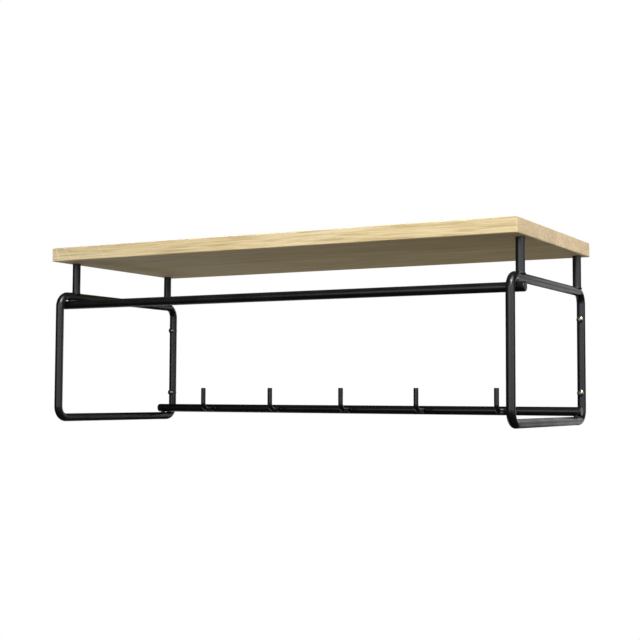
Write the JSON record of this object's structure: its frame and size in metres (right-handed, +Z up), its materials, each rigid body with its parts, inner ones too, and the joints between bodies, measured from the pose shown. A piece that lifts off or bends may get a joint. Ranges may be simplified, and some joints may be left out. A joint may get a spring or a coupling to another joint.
{
  "type": "wall hook rack",
  "caption": "Wall rack with an oak shelf on closed tubular side loops, a hanging rail under its front edge and a rail of upright peg hooks at the back.",
  "frame": {"origin": "centre of the four wall screws, on the plane of the wall", "axes": "+X along the shelf to its right end, +Y into the wall, +Z up"},
  "size_m": [0.8, 0.333, 0.283],
  "materials": {
    "oak": "clear matt oil, fine long grain",
    "black_powder_coat": "satin black powder coat with a fine texture",
    "black_screw": "black oxide, slight sheen",
    "nickel_screw": "dark nickel plate, glossy",
    "brass_insert": "turned"
  },
  "bodies": {
    "root": {"shelf_board": "oak", "side_loop_left": "black_powder_coat", "side_loop_right": "black_powder_coat", "post_front_left": "black_powder_coat", "post_front_right": "black_powder_coat", "post_rear_left": "black_powder_coat", "post_rear_right": "black_powder_coat", "hanging_rail": "black_powder_coat", "hook_rail": "black_powder_coat", "hanging_rail_boss_left": "black_powder_coat", "hanging_rail_boss_right": "black_powder_coat", "hook_rail_boss_left": "black_powder_coat", "hook_rail_boss_right": "black_powder_coat", "hanging_rail_cap_left": "black_powder_coat", "hanging_rail_cap_right": "black_powder_coat", "hook_rail_cap_left": "black_powder_coat", "hook_rail_cap_right": "black_powder_coat", "hook_1": "black_powder_coat", "hook_2": "black_powder_coat", "hook_3": "black_powder_coat", "hook_4": "black_powder_coat", "hook_5": "black_powder_coat", "shelf_inserts": "brass_insert", "shelf_screws": "black_screw", "rail_screws": "black_screw", "wall_screws": "nickel_screw"}
  },
  "joints": []
}
